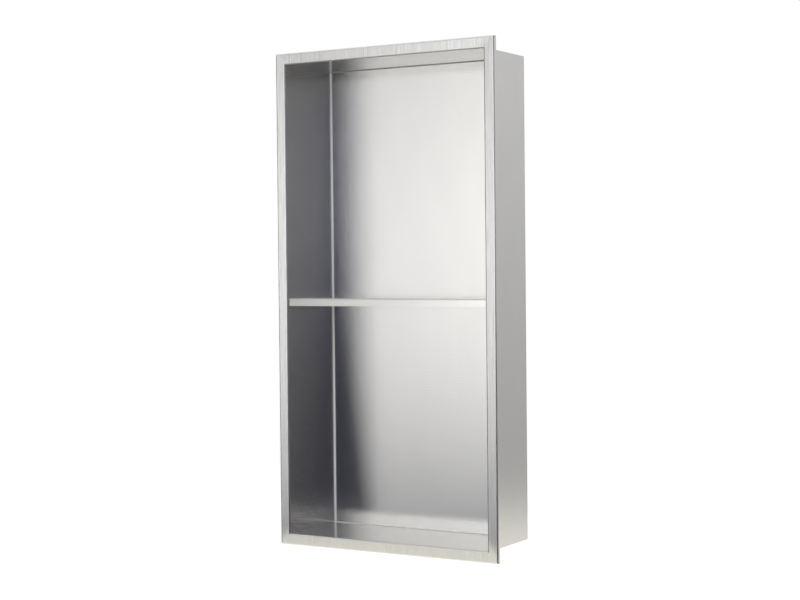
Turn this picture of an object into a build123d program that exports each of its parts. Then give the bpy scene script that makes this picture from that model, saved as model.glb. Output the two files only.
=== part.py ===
from build123d import *
import os

# Shower niche insert, folded and welded from brushed stainless sheet, with one fixed shelf.
# Millimetres. Facing the niche, +X is to the right, +Y goes into the wall and +Z is up.
# The origin is the middle of the opening, on the finished wall that the flange closes against.

# Driving dimensions
FLANGE_WIDTH = 305.0  # outside of the flange, side to side
FLANGE_HEIGHT = 610.0  # outside of the flange, top to bottom
FLANGE_BORDER = 14.0  # outer edge of the flange to the inside of the box wall
FLANGE_RETURN = 5.0  # front of the flange to its turned-back edge on the wall
NICHE_DEPTH = 105.0  # front of the flange to the outside of the back panel
SHEET = 1.0  # thickness of the sheet
FOLD_INSIDE = 1.0  # inside radius of every fold
SHELF_RISE = 293.0  # niche floor to the top of the shelf
SHELF_LIP = 9.5  # height of the shelf's turned-down front and rear edges
SHELF_SETBACK = 1.0  # end of the opening's rounded edge to the front of the shelf
SHELF_SIDE_GAP = 0.1  # each end of the shelf to the side wall, closed by the weld

# Sizes and places that follow from them
FOLD_OUTSIDE = FOLD_INSIDE + SHEET
INSIDE_WIDTH = FLANGE_WIDTH - 2 * FLANGE_BORDER
INSIDE_HEIGHT = FLANGE_HEIGHT - 2 * FLANGE_BORDER
FLANGE_FRONT = -FLANGE_RETURN
FLANGE_REAR = FLANGE_FRONT + SHEET
BACK_OUTSIDE = FLANGE_FRONT + NICHE_DEPTH
BACK_INSIDE = BACK_OUTSIDE - SHEET
FLOOR_TOP = -INSIDE_HEIGHT / 2

# Turns that lay a pan's closed face, which is made facing up, towards the room or the wall
FACING_ROOM = Rot(90, 0, 0)
FACING_WALL = Rot(-90, 0, 0)


def folded_pan(width, length, depth):
    """A pan of sheet, its closed face up at z = 0 and its four edges folded down and welded square."""
    block = Pos(0, 0, -depth / 2) * Box(width, length, depth)
    folds = block.faces().sort_by(Axis.Z)[-1].edges()
    block = fillet(folds, FOLD_OUTSIDE)
    underside = block.faces().sort_by(Axis.Z)[0]
    return offset(block, amount=-SHEET, openings=underside)


def folded_channel(width, length, depth):
    """A channel of sheet, its closed face up at z = 0 and its front and rear edges folded down.

    The ends are cut square, and the rear corners are clipped to clear the folds of the box.
    """
    block = Pos(0, 0, -depth / 2) * Box(width, length, depth)
    rear_corners = block.edges().filter_by(Axis.Z).group_by(Axis.Y)[-1]
    block = chamfer(rear_corners, FOLD_OUTSIDE)
    folds = block.faces().sort_by(Axis.Z)[-1].edges().filter_by(Axis.X)
    block = fillet(folds, FOLD_OUTSIDE)
    underside = block.faces().sort_by(Axis.Z)[0]
    cut_ends = block.faces().filter_by(lambda face: abs(face.normal_at().X) > 0.5)
    return offset(block, amount=-SHEET, openings=[underside, *cut_ends])


def opening_cut():
    """The plug of flange that is taken out where the sheet folds back into the box."""
    return Pos(0, (FLANGE_FRONT + FLANGE_REAR) / 2, 0) * Box(INSIDE_WIDTH, SHEET, INSIDE_HEIGHT)


def hole_edges(body, plane_y):
    """The edges round the hole in the flat of the flange that lies at plane_y."""
    flats = body.faces().filter_by(Axis.Y)
    flange_flat = min(flats, key=lambda flat: abs(flat.center().Y - plane_y))
    return flange_flat.inner_wires()[0].edges()


def niche_body():
    """Back panel, four walls, flange and its turned-back edge: one sheet of even thickness."""
    flange = Pos(0, FLANGE_FRONT, 0) * FACING_ROOM * folded_pan(
        FLANGE_WIDTH, FLANGE_HEIGHT, FLANGE_RETURN
    )
    box = Pos(0, BACK_OUTSIDE, 0) * FACING_WALL * folded_pan(
        INSIDE_WIDTH + 2 * SHEET, INSIDE_HEIGHT + 2 * SHEET, NICHE_DEPTH
    )
    body = flange + box - opening_cut()
    body = fillet(hole_edges(body, FLANGE_REAR), FOLD_INSIDE)
    return fillet(hole_edges(body, FLANGE_FRONT), FOLD_OUTSIDE)


def shelf():
    """The fixed shelf: a channel, its rear edge on the back panel and its ends at the walls."""
    front = FLANGE_FRONT + FOLD_OUTSIDE + SHELF_SETBACK
    depth = BACK_INSIDE - front
    channel = folded_channel(INSIDE_WIDTH - 2 * SHELF_SIDE_GAP, depth, SHELF_LIP)
    return Pos(0, front + depth / 2, FLOOR_TOP + SHELF_RISE) * channel


os.makedirs("parts", exist_ok=True)
export_step(niche_body(), "parts/niche_body.step")
export_step(shelf(), "parts/shelf.step")
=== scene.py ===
# %% [markdown]
# # A shower niche insert in brushed stainless steel
# The real object is a tall open box, folded from one thin sheet of stainless steel. Round the
# opening the sheet turns outward into a flat flange that hides the cut edge of the tiles, and a
# second folded sheet is welded in at mid-height as a shelf. Solids of both sheets exist already.
# They are the frame here: they fix every size, and what this lesson makes goes exactly over them.

# %% Load the solids
import math
from collections import namedtuple

import bpy
from mathutils import Euler, Matrix, Vector


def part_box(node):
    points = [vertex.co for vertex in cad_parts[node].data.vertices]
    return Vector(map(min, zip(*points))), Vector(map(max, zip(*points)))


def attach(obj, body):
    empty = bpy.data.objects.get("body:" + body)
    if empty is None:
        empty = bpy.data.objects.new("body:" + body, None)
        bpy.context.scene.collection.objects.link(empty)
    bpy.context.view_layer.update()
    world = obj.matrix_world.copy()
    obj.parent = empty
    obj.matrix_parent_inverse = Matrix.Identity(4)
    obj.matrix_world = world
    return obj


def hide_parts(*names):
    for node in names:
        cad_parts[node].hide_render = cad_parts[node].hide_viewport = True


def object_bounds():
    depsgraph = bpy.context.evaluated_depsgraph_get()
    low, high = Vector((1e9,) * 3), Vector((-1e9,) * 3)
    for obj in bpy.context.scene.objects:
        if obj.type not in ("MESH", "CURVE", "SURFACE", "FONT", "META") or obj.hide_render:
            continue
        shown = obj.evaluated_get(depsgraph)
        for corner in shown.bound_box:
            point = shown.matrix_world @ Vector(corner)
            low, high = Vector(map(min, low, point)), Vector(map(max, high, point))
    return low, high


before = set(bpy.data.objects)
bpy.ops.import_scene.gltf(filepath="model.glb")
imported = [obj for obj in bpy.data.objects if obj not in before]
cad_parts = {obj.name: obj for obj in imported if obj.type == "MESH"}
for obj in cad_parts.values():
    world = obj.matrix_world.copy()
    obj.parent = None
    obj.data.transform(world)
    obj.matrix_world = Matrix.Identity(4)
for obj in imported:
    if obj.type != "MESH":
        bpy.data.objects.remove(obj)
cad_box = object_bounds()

cad_size = [round(side, 4) for side in cad_box[1] - cad_box[0]]
print("solids:", sorted(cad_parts), "in a box of", cad_size, "m")

# %% [markdown]
# ## Sizes
# A folded sheet needs few numbers: its thickness, the inside radius of its folds and where the
# folds lie. They could all be typed in again, but the solids hold them, so most are measured from
# the two boxes, and only what a box can't tell is typed. The shelf's rear edge touches the back
# panel and its ends stop at the walls, so the shelf tells how thick the sheet is and how wide the
# inside is.

# %% Read the sizes from the solids
body_low, body_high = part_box("niche_body")
shelf_low, shelf_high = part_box("shelf")

FOLD_INSIDE = 0.0010  # inside radius of every fold
SHELF_END_GAP = 0.0001  # each end of the shelf to the side wall
WALL_FACE = 0.0  # depth of the finished wall, where the flange's turned-back edge ends

sheet_thickness = body_high.y - shelf_high.y
fold_outside = FOLD_INSIDE + sheet_thickness
inside_half_width = shelf_high.x + SHELF_END_GAP
flange_border = body_high.x - inside_half_width
inside_half_height = body_high.z - flange_border
flange_front = body_low.y
back_outside = body_high.y
back_inside = back_outside - sheet_thickness


def mm(length):
    """A length in millimetres, for printing."""
    return f"{length * 1000:.1f} mm"


print("sheet", mm(sheet_thickness), "thick, flange", mm(flange_border), "wide")
print("inside", mm(2 * inside_half_width), "by", mm(2 * inside_half_height))

# %% [markdown]
# ## A fold that runs all the way round
# The niche is a pan: a back panel with edges that fold up on all four sides and are welded square
# at the corners. A box with a Bevel modifier would come close, but a bevel gives every edge one
# width, and here the inside of a fold is tighter than its outside. So the mesh follows the way the
# part is made. A fold is a row of stations round an arc. At each station the panel's outline has
# grown outward by some reach and lies at some depth, and the skin faces partly out, partly deep.

# %% Stations of a fold
FOLD_STEPS = 8

Station = namedtuple("Station", "reach deep face_out face_deep")


def bend(reach, deep, radius, turn, facing):
    """Stations round a fold whose centre is at reach and deep.

    turn is the angle at its start and at its end, in degrees. facing is 1 on a fold's outside and
    -1 on its inside."""
    stations = []
    for step in range(FOLD_STEPS + 1):
        angle = math.radians(turn[0] + (turn[1] - turn[0]) * step / FOLD_STEPS)
        way = Vector((math.cos(angle), math.sin(angle)))
        place = Vector((reach, deep)) + radius * way
        stations.append(Station(place.x, place.y, facing * way.x, facing * way.y))
    return stations


def straight(reaches, deeps, facing):
    """Two stations at the ends of a flat stretch of sheet."""
    return [Station(reach, deep, *facing) for reach, deep in zip(reaches, deeps)]


print("each fold has", FOLD_STEPS, "facets")

# %% [markdown]
# ## A sheet that remembers its flat blank
# The grain of brushed steel is put on while the sheet is still flat, so it runs straight over the
# folds. A map projected from each side would break it there. So each corner of each face also
# keeps its place on the flat blank, as a UV map in metres: u runs across the grain and v along it.
# The same corners keep the direction they face, worked out from the fold and not averaged, so that
# flats shade perfectly flat beside tight folds. A second map lays the two skins of the sheet side
# by side without overlap, for baking. Faces whose finish differs from that of the plain sheet carry
# a mark, which the steel reads later.

# %% The mesh of one folded sheet
SAME_PLACE_DIGITS = 7  # points that agree to so many decimals of a metre are one point

Corner = namedtuple("Corner", "point facing blank")


class FoldedSheet:
    """The faces of one sheet, made skin by skin.

    A place on it is given across the grain, along the grain and deep. axes and origin turn that
    into the frame's X, Y and Z."""

    def __init__(self, axes, origin, blank_shift=0.0):
        self.axes = axes
        self.origin = origin
        self.blank_shift = blank_shift
        self.points = []
        self.index = {}
        self.faces = []
        self.skins = []
        self.finishes = []
        self.skin = -1
        self.unrolled = 0.0

    def start_skin(self):
        self.skin += 1
        self.unrolled = 0.0

    def point(self, flat, deep):
        """The number of the point at this place, which is added if it is new."""
        key = tuple(round(measure, SAME_PLACE_DIGITS) for measure in (flat.x, flat.y, deep))
        if key not in self.index:
            self.index[key] = len(self.points)
            self.points.append(self.axes @ Vector((flat.x, flat.y, deep)) + self.origin)
        return self.index[key]

    def add_face(self, corners, finish=None):
        """corners are (place, depth, facing, place on the blank). Those that coincide are merged."""
        kept = {}
        for flat, deep, facing, blank in corners:
            kept.setdefault(self.point(flat, deep), (self.axes @ facing, blank))
        if len(kept) < 3:
            return
        ids = list(kept)
        area = Vector()
        for here, there in zip(ids, ids[1:] + ids[:1]):
            area += self.points[here].cross(self.points[there])
        if area.dot(sum((kept[i][0] for i in ids), Vector())) < 0:
            ids.reverse()
        self.faces.append([Corner(i, *kept[i]) for i in ids])
        self.skins.append(self.skin)
        self.finishes.append(finish)


print("a corner of a face keeps", Corner._fields)

# %% Lay the maps of a sheet
GRAIN_MAP = "grain"
BAKE_MAP = "OFBake"
BAKE_MARGIN = 0.01  # as a share of the bake map's width


def blank_extents(sheet):
    """Lowest corner and span of each skin on the flat blank."""
    lows, spans = [], []
    for skin in sorted(set(sheet.skins)):
        own = [face for face, on in zip(sheet.faces, sheet.skins) if on == skin]
        laid = [corner.blank for face in own for corner in face]
        low = Vector((min(blank.x for blank in laid), min(blank.y for blank in laid)))
        high = Vector((max(blank.x for blank in laid), max(blank.y for blank in laid)))
        lows.append(low)
        spans.append(high - low)
    return lows, spans


def lay_maps(sheet, mesh):
    """The blank in metres as the grain map, and its skins side by side as the bake map."""
    for name in (GRAIN_MAP, BAKE_MAP):
        mesh.uv_layers.new(name=name)
    grain, bake = mesh.uv_layers[GRAIN_MAP], mesh.uv_layers[BAKE_MAP]
    lows, spans = blank_extents(sheet)
    widest = max(sum(span.x for span in spans), max(span.y for span in spans))
    scale = (1 - (len(spans) + 1) * BAKE_MARGIN) / widest
    starts = [BAKE_MARGIN]
    for span in spans[:-1]:
        starts.append(starts[-1] + span.x * scale + BAKE_MARGIN)
    loop = 0
    for face, skin in zip(sheet.faces, sheet.skins):
        for corner in face:
            grain.data[loop].uv = (corner.blank.x + sheet.blank_shift, corner.blank.y)
            spread = (corner.blank - lows[skin]) * scale
            bake.data[loop].uv = (starts[skin] + spread.x, BAKE_MARGIN + spread.y)
            loop += 1


print("maps:", GRAIN_MAP, "in metres,", BAKE_MAP, "from 0 to 1")

# %% Turn a sheet into a Blender object
# Two of these marks paint light into folds: a pale matt tone as a painted highlight, a grey matt tone
# as painted shade.
FINISHES = ("painted_highlight_fold", "painted_shade_fold", "hand_brushed")


def steel_piece(sheet, name, node):
    """The mesh with its maps, marks and facings, in the place of the CAD node."""
    mesh = bpy.data.meshes.new(name)
    mesh.from_pydata(sheet.points, [], [[corner.point for corner in face] for face in sheet.faces])
    mesh.polygons.foreach_set("use_smooth", [True] * len(sheet.faces))
    lay_maps(sheet, mesh)
    for finish in FINISHES:
        marked = mesh.attributes.new(finish, "FLOAT", "FACE")
        marked.data.foreach_set("value", [float(kind == finish) for kind in sheet.finishes])
    facings = [corner.facing.normalized() for face in sheet.faces for corner in face]
    mesh.normals_split_custom_set(facings)
    piece = bpy.data.objects.new(name, mesh)
    bpy.context.scene.collection.objects.link(piece)
    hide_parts(node)
    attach(piece, "root")
    print(name, "has", len(mesh.polygons), "faces for", node)
    return piece


print("marks that a face can carry:", FINISHES)

# %% [markdown]
# ## The niche body
# One sheet makes the back panel, the four walls, the flange and the flange's edge, which turns back
# to rest on the tiles. The front skin is what the room sees. It starts at the back panel, folds
# forward into the walls, folds outward into the flange and folds back at the flange's edge. The
# rear skin runs the same way one sheet thickness behind it and closes round the cut edge, so the
# mesh is watertight like the real sheet. A Solidify modifier could add the rear skin, but one
# function that lays both gives each its exact radii and a finish of its own. The four sides meet in
# mitres. Near its ends each side is divided, so that the change from one side's facing to the next
# stays at the corner.

# %% Fold a sheet all the way round a panel
SIDES = [Vector((1, 0)), Vector((0, 1)), Vector((-1, 0)), Vector((0, -1))]  # right, top, left, bottom
STOPS = (-1.0, -0.91, 0.91, 1.0)  # where each side is divided, as shares of half its length

panel_half = (inside_half_width - FOLD_INSIDE, inside_half_height - FOLD_INSIDE)


def along_side(half, reach, out):
    """The places of the stops on one side of a rectangle that has grown outward by reach."""
    grown = Vector((half[0] + reach, half[1] + reach))
    middle = Vector((out.x * grown.x, out.y * grown.y))
    along = Vector((-out.y * grown.x, out.x * grown.y))
    return [middle + stop * along for stop in STOPS]


def on_blank(flat, out, unrolled):
    """Where a point of a wall or a strip lies once its folds are laid flat."""
    if out.x:
        return Vector((out.x * (panel_half[0] + unrolled), flat.y))
    return Vector((flat.x, out.y * (panel_half[1] + unrolled)))


def lay_panel(sheet, half, reach, deep, face_deep):
    """The flat panel that a new skin starts from."""
    sheet.start_skin()
    sheet.unrolled = reach
    facing = Vector((0, 0, face_deep))
    corners = [flat for out in SIDES for flat in along_side(half, reach, out)[:-1]]
    sheet.add_face([(flat, deep, facing, flat) for flat in corners])


print("flat of the back panel", mm(2 * panel_half[0]), "by", mm(2 * panel_half[1]))

# %% Carry a skin on, on all four sides
PLAIN = (None,) * len(SIDES)
NO_LEAN = (0,) * len(SIDES)


def leaning(lean, side, stop):
    """How far a facing turns outward at one stop. At its ends a strip shares its neighbour's lean."""
    turned = SIDES[side] * math.tan(math.radians(lean[side]))
    if abs(stop) == 1:
        beside = (side + int(stop)) % len(SIDES)
        turned += SIDES[beside] * math.tan(math.radians(lean[beside]))
    return turned


def lay_strips(sheet, near, far, finishes=PLAIN, lean=NO_LEAN):
    """Carry the skin on between two stations on all four sides; each comes with its rectangle.

    finishes and lean are given for the right, top, left and bottom strips. lean is how far a strip
    faces away from the opening, in degrees."""
    unrolled = sheet.unrolled
    (near_half, near_station), (far_half, far_station) = near, far
    across = far_half[0] + far_station.reach - near_half[0] - near_station.reach
    sheet.unrolled += math.hypot(across, far_station.deep - near_station.deep)
    for side, out in enumerate(SIDES):
        rows = []
        for (half, station), mark in ((near, unrolled), (far, sheet.unrolled)):
            row = []
            for stop, flat in zip(STOPS, along_side(half, station.reach, out)):
                face_out = out * station.face_out + leaning(lean, side, stop)
                facing = Vector((*face_out, station.face_deep))
                row.append((flat, station.deep, facing, on_blank(flat, out, mark)))
            rows.append(row)
        for k in range(len(STOPS) - 1):
            corners = [rows[0][k], rows[0][k + 1], rows[1][k + 1], rows[1][k]]
            sheet.add_face(corners, finishes[side])


def fold_round(sheet, half, stations, finishes=PLAIN):
    """Carry the skin on through stations that all grow from one rectangle."""
    for near, far in zip(stations, stations[1:]):
        lay_strips(sheet, (half, near), (half, far), finishes)


print("a strip has", len(STOPS) - 1, "faces on each of", len(SIDES), "sides")

# %% [markdown]
# ## Painted highlight and shade in the folds, and what the brush leaves
# In the photograph the folds show as fine lines: pale beside and under the back panel, grey in the
# two folds overhead. Here these lines are painted into the folds. What makes them can't be seen. A
# pale matt tone is a painted highlight in the upright folds, in the fold under the back panel and in
# narrow bands beside the upright folds, and a grey matt tone is painted shade in the two folds
# overhead. The flange has stronger streaks, as if brushed again by hand after welding, and its
# strips differ in tone, as if each leaned by a few degrees. That lean is a guess, so only the
# facings lean, and the mesh stays as flat as the solid. A painted mask could hold the finishes, but
# folds and strips have faces of their own, so a mark on each face is enough. Only the skin that the
# room sees has them.

# %% Choose the finish of each skin
HIGHLIGHT_BAND = 0.0010  # width of the band beside an upright fold, painted pale as a highlight
SHADED_FACETS = 6  # facets of the opening's upper fold, counted from the wall, painted grey as shade

# Each value is for the right, top, left and bottom. The lean is in degrees, away from the opening.
SkinFinish = namedtuple("SkinFinish", "die_marks back_folds opening flange flange_lean")
# On the room's skin the pale folds and bands are a painted highlight, and the grey folds overhead are
# painted shade.
room_side = SkinFinish(
    die_marks=("painted_highlight_fold", None, "painted_highlight_fold", None),
    back_folds=("painted_highlight_fold", "painted_shade_fold", "painted_highlight_fold", "painted_highlight_fold"),
    opening=(None, "painted_shade_fold", None, None),
    flange=("hand_brushed",) * len(SIDES),
    flange_lean=(-3.4, 0.0, -1.6, 2.0),
)
wall_side = SkinFinish(PLAIN, PLAIN, PLAIN, PLAIN, NO_LEAN)
print("the flange's strips lean by", room_side.flange_lean, "degrees")

# %% Fold the niche body
flange_half = (body_high.x - fold_outside, body_high.z - fold_outside)
opening_reach = FOLD_INSIDE + fold_outside  # centre of the opening's fold, beyond the panel's flat
flange_fold = flange_front + fold_outside  # depth of the centres of the flange's folds
back_fold = back_inside - FOLD_INSIDE  # depth of the centres of the back panel's folds

upright = Matrix(((1, 0, 0), (0, 0, 1), (0, 1, 0)))  # across is X, along the grain is Z, deep is Y
body = FoldedSheet(upright, Vector((0, 0, 0)))


def body_skin(panel_deep, fold_radius, edge_radius, facing, finish):
    """One skin, from the back panel to the flange's turned-back edge, with its finish.

    fold_radius is that of the back panel's folds and edge_radius that of the flange's."""
    panel_band = straight((-HIGHLIGHT_BAND, 0), (panel_deep, panel_deep), (0, -facing))
    back = bend(0, back_fold, fold_radius, (90, 0), -facing)
    wall_band = straight((fold_radius, fold_radius), (back_fold, back_fold - HIGHLIGHT_BAND), (-facing, 0))
    wall = straight((fold_radius, fold_radius), (back_fold - HIGHLIGHT_BAND, flange_fold), (-facing, 0))
    opening = bend(opening_reach, flange_fold, edge_radius, (180, 270), facing)
    edge = bend(0, flange_fold, edge_radius, (270, 360), facing)
    turned_back = straight((edge_radius, edge_radius), (flange_fold, WALL_FACE), (facing, 0))
    lay_panel(body, panel_half, -HIGHLIGHT_BAND, panel_deep, -facing)
    fold_round(body, panel_half, panel_band, finish.die_marks)
    fold_round(body, panel_half, back, finish.back_folds)
    fold_round(body, panel_half, wall_band, finish.die_marks)
    fold_round(body, panel_half, wall)
    fold_round(body, panel_half, opening[:SHADED_FACETS + 1], finish.opening)
    fold_round(body, panel_half, opening[SHADED_FACETS:])
    flange_ends = (panel_half, opening[-1]), (flange_half, edge[0])
    lay_strips(body, *flange_ends, finish.flange, finish.flange_lean)
    fold_round(body, flange_half, edge)
    fold_round(body, flange_half, turned_back)


body_skin(back_inside, FOLD_INSIDE, fold_outside, 1, room_side)
body_skin(back_outside, fold_outside, FOLD_INSIDE, -1, wall_side)
cut_edge = straight((FOLD_INSIDE, fold_outside), (WALL_FACE, WALL_FACE), (0, 1))
fold_round(body, flange_half, cut_edge)

niche_body = steel_piece(body, "niche_body_sheet", "niche_body")

# %% [markdown]
# ## The shelf
# The shelf is a plate with its front and rear edges folded down. The front lip shows, and the rear
# one lies against the back panel. Its ends are cut square and welded to the walls, and its rear
# corners are clipped so that they clear the folds of the box. An extruded outline would do, but the
# stations of a fold are at hand, and they bring the facings and the blank along. Here the sheet is
# cut with its grain from end to end, so the grain runs along X, a quarter turn from the walls'.


# %% Fold a sheet in one direction only
def unrolled_marks(stations):
    """How far along the sheet each station lies from the first."""
    marks = [0.0]
    for near, far in zip(stations, stations[1:]):
        marks.append(marks[-1] + math.hypot(far.reach - near.reach, far.deep - near.deep))
    return marks


def fold_across(sheet, stations, half_length):
    """Carry the skin on along the stations, as long each way as half_length says there."""
    marks = [sheet.unrolled + mark for mark in unrolled_marks(stations)]
    for k in range(len(stations) - 1):
        corners = []
        for m, ends in ((k, (-1, 1)), (k + 1, (1, -1))):
            station = stations[m]
            facing = Vector((station.face_out, 0, station.face_deep))
            for end in ends:
                flat = Vector((station.reach, end * half_length(station.reach)))
                corners.append((flat, station.deep, facing, Vector((marks[m], flat.y))))
        sheet.add_face(corners)
    sheet.unrolled = marks[-1]


quarter_turn = unrolled_marks(bend(0, 0, fold_outside, (180, 270), 1))[-1]
print("the outside of one fold takes", mm(quarter_turn), "of sheet")

# %% Close the cut ends
CUT_ENDS_APART = 0.01  # from a skin to its cut ends on the blank


def cut_ends(sheet, outside, inside, half_length):
    """Close the two cut ends between the skins."""
    marks = unrolled_marks(outside)
    longest = max(half_length(station.reach) for station in outside) + CUT_ENDS_APART
    for end in (-1, 1):
        for k in range(len(outside) - 1):
            lengths = [half_length(station.reach) for station in outside[k:k + 2]]
            clipped = lengths[1] < lengths[0]
            facing = Vector((1, end, 0)) if clipped else Vector((0, end, 0))
            corners = []
            for skin, depth, pair in ((outside, sheet_thickness, (k, k + 1)), (inside, 0, (k + 1, k))):
                for m in pair:
                    flat = Vector((skin[m].reach, end * half_length(skin[m].reach)))
                    blank = Vector((marks[m], end * (longest + depth)))
                    corners.append((flat, skin[m].deep, facing, blank))
            sheet.add_face(corners)


print("cut ends lie", mm(CUT_ENDS_APART), "beside their skin on the blank")

# %% Fold the shelf
SHELF_BLANK_SHIFT = 2.0  # so that the shelf's grain doesn't repeat the back panel's

rear = (shelf_high.y - shelf_low.y) / 2
front = -rear
lip = shelf_high.z - shelf_low.z
lying = Matrix(((0, 1, 0), (1, 0, 0), (0, 0, -1)))  # across is Y, along the grain is X, deep is down
shelf_middle = Vector((0, (shelf_low.y + shelf_high.y) / 2, shelf_high.z))
shelf = FoldedSheet(lying, shelf_middle, SHELF_BLANK_SHIFT)


def shelf_half_length(across):
    """Half the shelf's length, less the clip at its rear corners."""
    return shelf_high.x - max(0.0, across - (rear - fold_outside))


def shelf_skin(radius, facing):
    """Stations from the bottom of the front lip, over the top, to the bottom of the rear lip."""
    face = fold_outside - radius
    over_front = bend(front + fold_outside, fold_outside, radius, (180, 270), facing)
    over_rear = bend(rear - fold_outside, fold_outside, radius, (270, 360), facing)
    foot_front = Station(front + face, lip, -facing, 0)
    foot_rear = Station(rear - face, lip, facing, 0)
    return [foot_front, *over_front, *over_rear, foot_rear]


def facing_down(*stations):
    """The cut edge at the bottom of a lip, between the two skins."""
    return [station._replace(face_out=0, face_deep=1) for station in stations]


outside, inside = shelf_skin(fold_outside, 1), shelf_skin(FOLD_INSIDE, -1)
shelf.start_skin()
fold_across(shelf, outside, shelf_half_length)
shelf.start_skin()
fold_across(shelf, facing_down(outside[-1], inside[-1]), shelf_half_length)
fold_across(shelf, inside[::-1], shelf_half_length)
fold_across(shelf, facing_down(inside[0], outside[0]), shelf_half_length)
cut_ends(shelf, outside, inside, shelf_half_length)

niche_shelf = steel_piece(shelf, "shelf_sheet", "shelf")

# %% [markdown]
# ## Brushed stainless steel
# A belt drags abrasive grit along the sheet and leaves fine parallel scratches. Each scratch is a
# tiny groove: it scatters light across the grain and hardly along it. That is anisotropy, and it is
# what makes a lamp's reflection smear sideways on a panel with upright grain. The tangent node
# tells the shader where across is, from the grain map. An image of scratches would repeat, and blur
# close up, so noise stretched along the grain makes them. Hairlines and broader drags vary the
# tone, the roughness and the height, and faint clouds vary the tone. A thin clear coat, like the
# lacquer that keeps fingermarks off such steel, adds a sharper glint. Under that coat, the marked
# folds turn from metal into a matt surface, painted pale as a highlight or grey as shade.

# %% Start the material, with helpers that wire its nodes
steel = bpy.data.materials.new("brushed_stainless")
steel.use_nodes = True
steel_tree = steel.node_tree


def add(tree, kind, **inputs):
    """A new node with its input sockets set: a socket is linked, anything else is its value.

    A socket goes by its name, with _ for a space, or by its number, such as i0."""
    node = tree.nodes.new(kind)
    for name, value in inputs.items():
        socket = node.inputs[int(name[1:]) if name[1:].isdigit() else name.replace("_", " ")]
        if isinstance(value, bpy.types.NodeSocket):
            tree.links.new(value, socket)
        else:
            socket.default_value = value
    return node


def calculate(tree, operation, a, b):
    node = add(tree, "ShaderNodeMath", i0=a, i1=b)
    node.operation = operation
    return node.outputs[0]


def blend_between(tree, factor, low, high):
    node = add(tree, "ShaderNodeMapRange", Value=factor, To_Min=low, To_Max=high)
    return node.outputs[0]


def mix_colours(tree, factor, low, high):
    node = add(tree, "ShaderNodeMix", i0=factor, i6=low, i7=high)
    node.data_type = "RGBA"
    return node.outputs[2]


print("a new material has", [node.name for node in steel_tree.nodes])

# %% Draw noise out along the grain
HAIRLINE = (0.0005, 0.03)  # width and length of a scratch
DRAG = (0.0015, 0.06)  # broader streaks, where coarse grit ran
CLOUD = (0.03, 0.09)  # uneven pressure of the belt
HAIRLINE_SHARE = 0.4  # of the streaks, and the drags are the rest
NOISE_DETAIL = 3.0

grain_map = steel_tree.nodes.new("ShaderNodeUVMap")
grain_map.uv_map = GRAIN_MAP


def drawn_out(size):
    """Noise drawn out along the grain: one blotch is about as wide and long as size says."""
    blotches = (1 / size[0], 1 / size[1], 1)
    stretched = add(steel_tree, "ShaderNodeVectorMath", i0=grain_map.outputs[0], i1=blotches)
    stretched.operation = "MULTIPLY"
    place = stretched.outputs[0]
    noise = add(steel_tree, "ShaderNodeTexNoise", Vector=place, Scale=1.0, Detail=NOISE_DETAIL)
    return noise.outputs[0]


def weigh(share, one, other):
    """A share of one and the rest of the other, added together."""
    share_of_one = calculate(steel_tree, "MULTIPLY", one, share)
    rest_of_other = calculate(steel_tree, "MULTIPLY", other, 1 - share)
    return calculate(steel_tree, "ADD", share_of_one, rest_of_other)


streaks = weigh(HAIRLINE_SHARE, drawn_out(HAIRLINE), drawn_out(DRAG))
clouds = drawn_out(CLOUD)
print("hairlines are", mm(HAIRLINE[0]), "wide, drags", mm(DRAG[0]), "and clouds", mm(CLOUD[0]))

# %% Tone and roughness of the brushed faces
STEEL_DARK = (0.609, 0.60, 0.580, 1)
STEEL_LIGHT = (0.792, 0.78, 0.753, 1)
CLOUD_SHARE = 0.3  # of the tone, and the streaks are the rest
HAND_BRUSHED_CONTRAST = 4.0  # how much stronger the streaks are where a hand has brushed again
NOISE_MIDDLE = 0.5
GRAIN_ROUGHNESS = (0.23, 0.29)


def marked_faces(finish):
    """1 on the faces that carry this mark, 0 elsewhere."""
    mark = steel_tree.nodes.new("ShaderNodeAttribute")
    mark.attribute_name = finish
    return mark.outputs["Fac"]


def strengthen(noise, contrast):
    """The same noise, spread further to both sides of its middle."""
    from_middle = calculate(steel_tree, "SUBTRACT", noise, NOISE_MIDDLE)
    spread = calculate(steel_tree, "MULTIPLY", from_middle, contrast)
    return calculate(steel_tree, "ADD", spread, NOISE_MIDDLE)


contrast = blend_between(steel_tree, marked_faces("hand_brushed"), 1.0, HAND_BRUSHED_CONTRAST)
mottle = weigh(CLOUD_SHARE, clouds, strengthen(streaks, contrast))
brushed_tone = mix_colours(steel_tree, mottle, STEEL_DARK, STEEL_LIGHT)
brushed_roughness = blend_between(steel_tree, streaks, *GRAIN_ROUGHNESS)
print("roughness of the brushed faces from", GRAIN_ROUGHNESS[0], "to", GRAIN_ROUGHNESS[1])

# %% Turn the marked folds matt, painted pale as a highlight or grey as shade
# Painted light: the pale tone stands in for a highlight in the folds, the grey one for shade.
PAINTED_HIGHLIGHT_TONE = (0.90, 0.90, 0.91, 1)
PAINTED_SHADE_TONE = (0.38, 0.38, 0.375, 1)
MATT_ROUGHNESS = 0.95

# Faces marked for painted shade take the grey tone, the other marked folds the pale tone of a painted
# highlight.
shade_mark = marked_faces("painted_shade_fold")
matt = calculate(steel_tree, "MAXIMUM", marked_faces("painted_highlight_fold"), shade_mark)
painted_fold_tone = mix_colours(steel_tree, shade_mark, PAINTED_HIGHLIGHT_TONE, PAINTED_SHADE_TONE)
colour = mix_colours(steel_tree, matt, brushed_tone, painted_fold_tone)
roughness = blend_between(steel_tree, matt, brushed_roughness, MATT_ROUGHNESS)
metal = blend_between(steel_tree, matt, 1.0, 0.0)

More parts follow.
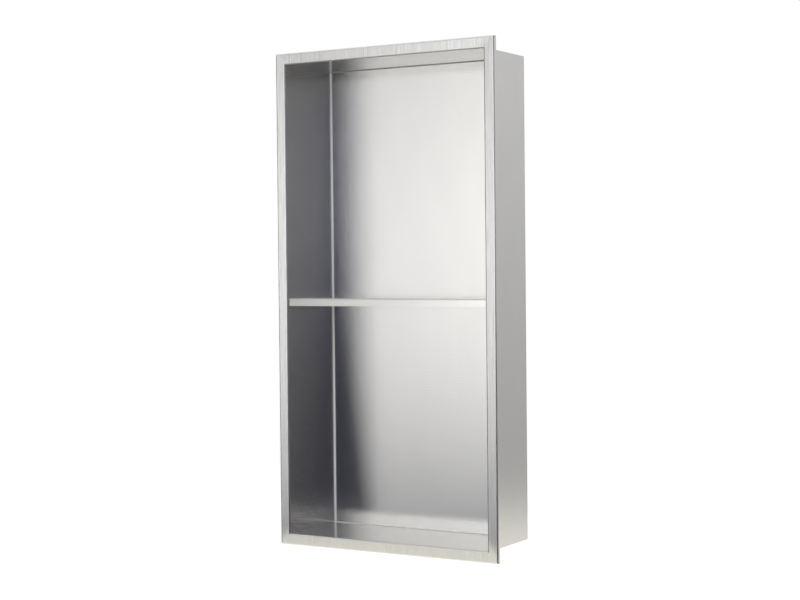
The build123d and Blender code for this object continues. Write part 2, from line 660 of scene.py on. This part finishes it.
shader = steel_tree.nodes["Principled BSDF"]
steel_tree.links.new(colour, shader.inputs["Base Color"])
steel_tree.links.new(roughness, shader.inputs["Roughness"])
steel_tree.links.new(metal, shader.inputs["Metallic"])
print("matt folds have a roughness of", MATT_ROUGHNESS)

# %% Cut the grooves, turn the grain and lacquer it
GROOVE_DEPTH = 0.00002
GROOVE_STRENGTH = 0.5
GRAIN_ANISOTROPY = 1.0
LACQUER = 1.0
LACQUER_ROUGHNESS = 0.1

groove = add(steel_tree, "ShaderNodeBump", Height=streaks, Distance=GROOVE_DEPTH)
groove.inputs["Strength"].default_value = GROOVE_STRENGTH
steel_tree.links.new(groove.outputs[0], shader.inputs["Normal"])

across_grain = steel_tree.nodes.new("ShaderNodeTangent")
across_grain.direction_type = "UV_MAP"
across_grain.uv_map = GRAIN_MAP
steel_tree.links.new(across_grain.outputs[0], shader.inputs["Tangent"])
shader.inputs["Anisotropic"].default_value = GRAIN_ANISOTROPY
shader.inputs["Coat Weight"].default_value = LACQUER
shader.inputs["Coat Roughness"].default_value = LACQUER_ROUGHNESS

for piece in (niche_body, niche_shelf):
    piece.data.materials.append(steel)
print("steel on", [piece.name for piece in (niche_body, niche_shelf)])

# %% [markdown]
# ## Floor and background
# In use the niche sits in a wall, so here it hangs well above a plain pale floor. The world is plain
# white: it lights everything evenly, and it is the background too. A matt floor under such a light
# looks greyer than its background. More light would whiten it, but would bleach the steel too. Light
# Path tells the camera's rays, reflections and refractions from the rays that light a matt surface,
# and only the first three see the floor glow. So the floor looks white, shows as a warm white in the
# steel and still takes a soft shadow, and its glow puts no light on matt things.

# %% Paint and lay the floor
FLOOR_DROP = 1.3  # bottom of the flange to the floor
FLOOR_SIZE = 16.0
FLOOR_TONE = (0.60, 0.59, 0.55, 1)
FLOOR_GLOW = 0.55  # lifts the floor, where it is seen directly, to white in its weakest colour
WARM_WHITE = (1.0, 0.98, 0.89, 1)


def bare_material(name):
    """A material that has no shader yet."""
    paint = bpy.data.materials.new(name)
    paint.use_nodes = True
    paint.node_tree.nodes.remove(paint.node_tree.nodes["Principled BSDF"])
    return paint


def seen_directly(tree):
    """1 for rays from the camera, reflections and refractions, 0 for those that light matt faces."""
    path = tree.nodes.new("ShaderNodeLightPath")
    seen = calculate(tree, "MAXIMUM", path.outputs["Is Camera Ray"], path.outputs["Is Glossy Ray"])
    return calculate(tree, "MAXIMUM", seen, path.outputs["Is Transmission Ray"])


def white_floor():
    """A matt tone, with a glow that only shows where the floor is seen directly."""
    paint = bare_material("white_floor")
    tree = paint.node_tree
    tone = add(tree, "ShaderNodeBsdfDiffuse", Color=FLOOR_TONE)
    strength = calculate(tree, "MULTIPLY", seen_directly(tree), FLOOR_GLOW)
    glow = add(tree, "ShaderNodeEmission", Color=WARM_WHITE, Strength=strength)
    both = add(tree, "ShaderNodeAddShader", i0=tone.outputs[0], i1=glow.outputs[0])
    tree.links.new(both.outputs[0], tree.nodes["Material Output"].inputs["Surface"])
    return paint


floor_half = FLOOR_SIZE / 2
floor_corners = [(x * floor_half, y * floor_half, 0) for x, y in ((-1, -1), (1, -1), (1, 1), (-1, 1))]
floor_mesh = bpy.data.meshes.new("floor")
floor_mesh.from_pydata(floor_corners, [], [(0, 1, 2, 3)])
floor_mesh.materials.append(white_floor())
floor = bpy.data.objects.new("floor", floor_mesh)
bpy.context.scene.collection.objects.link(floor)
floor.location.z = body_low.z - FLOOR_DROP
print("floor at", round(floor.location.z, 3), "m")

# %% Light the background
WHITE = (1, 1, 1, 1)
WORLD_LIGHT = 1.0

world = bpy.data.worlds.new("white_studio")
bpy.context.scene.world = world
world.use_nodes = True
background = world.node_tree.nodes["Background"]
background.inputs["Color"].default_value = WHITE
background.inputs["Strength"].default_value = WORLD_LIGHT
print("the world's light has a strength of", WORLD_LIGHT)

# %% [markdown]
# ## Cards
# Metal has hardly any tone of its own: it shows its surroundings. In an all-white room a steel box
# looks like paper, so a photographer builds surroundings for it. A dark card bends round the front,
# and a low one hides the floor at the front right from the niche's ceiling. A bright card in front
# of the dark one is the soft box that the flange and the back panel show. A small card at the right
# lifts the inner left wall, and a grey one beside and behind the niche calms its outer side. A flat
# plane would do for each, but a card that is part of a sphere round the niche can be placed by the
# directions it covers. Only reflections see the cards, and their edges fade so that none shows hard.

# %% Bend a card round the niche
CARD_STEP = 5.0  # degrees from one row of points to the next


def bent_mesh(name, distance, azimuths, elevations, slant):
    """Part of a sphere round the niche, with a map from 0 to 1 across and up."""
    columns = math.ceil((azimuths[1] - azimuths[0]) / CARD_STEP) + 1
    rows = math.ceil((elevations[1] - elevations[0]) / CARD_STEP) + 1
    middle = (azimuths[0] + azimuths[1]) / 2
    points, faces, places = [], [], []
    for row in range(rows):
        for column in range(columns):
            u, v = column / (columns - 1), row / (rows - 1)
            azimuth = azimuths[0] + u * (azimuths[1] - azimuths[0])
            elevation = elevations[0] + v * (elevations[1] - elevations[0]) + slant * (azimuth - middle)
            way = Vector((0, -distance, 0))
            way.rotate(Euler((math.radians(-elevation), 0, math.radians(azimuth))))
            points.append(way)
            places.append((u, v))
            if row and column:
                here = row * columns + column
                faces.append((here - columns - 1, here - columns, here, here - 1))
    mesh = bpy.data.meshes.new(name)
    mesh.from_pydata(points, [], faces)
    place_on = mesh.uv_layers.new(name="UVMap")
    for loop in mesh.loops:
        place_on.data[loop.index].uv = places[loop.vertex_index]
    return mesh


print("cards have a row of points every", CARD_STEP, "degrees")

# %% Paint a card
DUSK_BLUE = (0.58, 0.63, 1.0, 1)  # the cool tint of the darker surroundings


def card_paint(name, width, height, levels, fades, tint):
    """Plain light, brighter or darker towards the top, that fades to nothing at the edges."""
    paint = bare_material(name)
    tree = paint.node_tree
    place = tree.nodes.new("ShaderNodeTexCoord").outputs["UV"]
    place_on = add(tree, "ShaderNodeSeparateXYZ", i0=place)
    across, up = place_on.outputs[0], place_on.outputs[1]
    shown = None
    for along, edge, reach in ((across, 0, fades[0] / width), (across, 1, -fades[1] / width),
                               (up, 0, fades[2] / height), (up, 1, -fades[3] / height)):
        fade = add(tree, "ShaderNodeMapRange", Value=along, From_Min=edge, From_Max=edge + reach)
        fade.interpolation_type = "SMOOTHSTEP"
        shown = calculate(tree, "MULTIPLY", shown, fade.outputs[0]) if shown else fade.outputs[0]
    clear = tree.nodes.new("ShaderNodeBsdfTransparent")
    glow = add(tree, "ShaderNodeEmission", Color=tint, Strength=blend_between(tree, up, *levels))
    both = add(tree, "ShaderNodeMixShader", i0=shown, i1=clear.outputs[0], i2=glow.outputs[0])
    tree.links.new(both.outputs[0], tree.nodes["Material Output"].inputs["Surface"])
    return paint


print("a card is white, or has the tint", DUSK_BLUE[:3])


# %% Hang the cards
def card(name, distance, azimuths, elevations, levels, fades, slant=0.0, tint=WHITE):
    """A card that only reflections see. Azimuth 0 is straight in front, 90 is at the niche's right.

    levels are its brightness at the bottom and at the top. fades say over how many degrees its left,
    right, lower and upper edges fade. slant is how far it rises for each degree to the right."""
    mesh = bent_mesh(name, distance, azimuths, elevations, slant)
    width, height = azimuths[1] - azimuths[0], elevations[1] - elevations[0]
    mesh.materials.append(card_paint(name, width, height, levels, fades, tint))
    piece = bpy.data.objects.new(name, mesh)
    bpy.context.scene.collection.objects.link(piece)
    for rays in ("camera", "diffuse", "shadow"):
        setattr(piece, "visible_" + rays, False)
    return piece


cards = [
    card("dark_card", 6.4, azimuths=(-120, 105), elevations=(-25, 32), levels=(0.07, 0.06),
         fades=(25, 15, 1, 10), tint=DUSK_BLUE),
    card("low_card", 2.4, azimuths=(5, 85), elevations=(-38, -11), levels=(0.07, 0.07),
         fades=(15, 15, 8, 4), tint=DUSK_BLUE),
    card("bright_card", 5.8, azimuths=(-45, 5), elevations=(-11.1, 34), levels=(3.4, 1.18),
         fades=(30, 6, 4, 25), slant=0.49),
    card("side_card", 5.8, azimuths=(56, 71), elevations=(-5, 16), levels=(1.6, 1.6),
         fades=(5, 5, 6, 12), tint=DUSK_BLUE),
    card("grey_card", 5.9, azimuths=(70, 218), elevations=(-13, 32), levels=(0.47, 1.08),
         fades=(15, 15, 4, 10)),
]
print("cards:", [piece.name for piece in cards])

# %% [markdown]
# ## Camera
# The photograph was taken from the front right, a little above the middle of the niche, with a
# moderately long lens. A camera could be placed by eye, but along such straight edges a small error
# shows. So its place, turn and lens were worked out from where the corners of the flange, the
# opening and the box lie in the picture.

# %% Place the camera
CAMERA_PLACE = (1.0206, -1.6892, 0.0448)
CAMERA_TURN = 30.618  # degrees to the left of straight at the wall
CAMERA_TILT = -1.300  # degrees up, so it looks a little down
CAMERA_ROLL = -0.557  # degrees about its line of sight
CAMERA_LENS = 73.97  # millimetres, as is the sensor
SENSOR_WIDTH = 36.0

camera = bpy.data.objects.new("camera", bpy.data.cameras.new("camera"))
bpy.context.scene.collection.objects.link(camera)
camera.data.sensor_fit = "HORIZONTAL"
camera.data.sensor_width = SENSOR_WIDTH
camera.data.lens = CAMERA_LENS
camera.matrix_world = (
    Matrix.Translation(CAMERA_PLACE)
    @ Matrix.Rotation(math.radians(CAMERA_TURN), 4, "Z")
    @ Matrix.Rotation(math.radians(90 + CAMERA_TILT), 4, "X")
    @ Matrix.Rotation(math.radians(CAMERA_ROLL), 4, "Z")
)
bpy.context.scene.camera = camera
bpy.context.scene.view_settings.view_transform = "Standard"
print("camera", round(Vector(CAMERA_PLACE).length, 3), "m from the middle of the opening")
